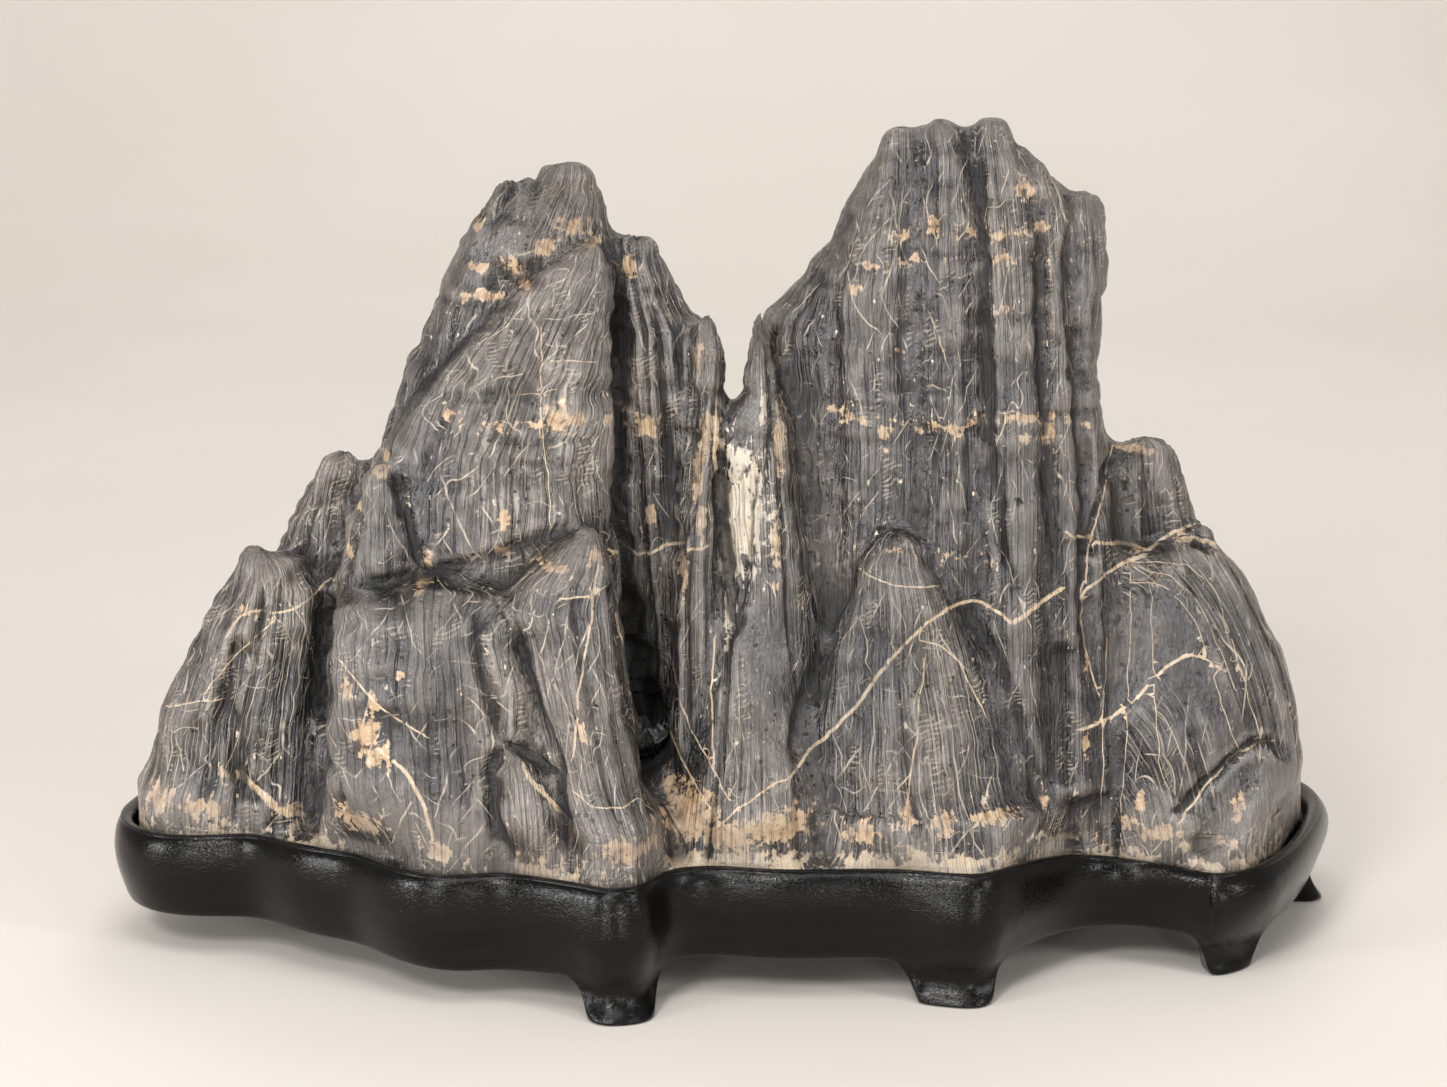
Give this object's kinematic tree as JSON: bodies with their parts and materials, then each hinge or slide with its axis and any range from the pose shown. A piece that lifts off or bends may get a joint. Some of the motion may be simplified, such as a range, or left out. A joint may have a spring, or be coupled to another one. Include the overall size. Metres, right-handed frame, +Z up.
{
  "type": "scholars rock on its stand",
  "caption": "Natural dark limestone rock of twin fluted peaks, displayed in a low carved and lacquered wooden stand that is shaped to its foot.",
  "frame": {"origin": "on the ground, under the middle of the stand's outline", "axes": "+X to the right as the rock is displayed, along its length; +Y to the back; +Z up"},
  "size_m": [0.4154, 0.1814, 0.2765],
  "materials": {
    "stone": "dark grey limestone, water-worn to a dull satin, with tan veins",
    "lacquered wood": "near-black lacquer over carved hardwood, semi-gloss"
  },
  "bodies": {
    "root": {"stone": "stone", "stand": "lacquered wood"}
  },
  "joints": []
}
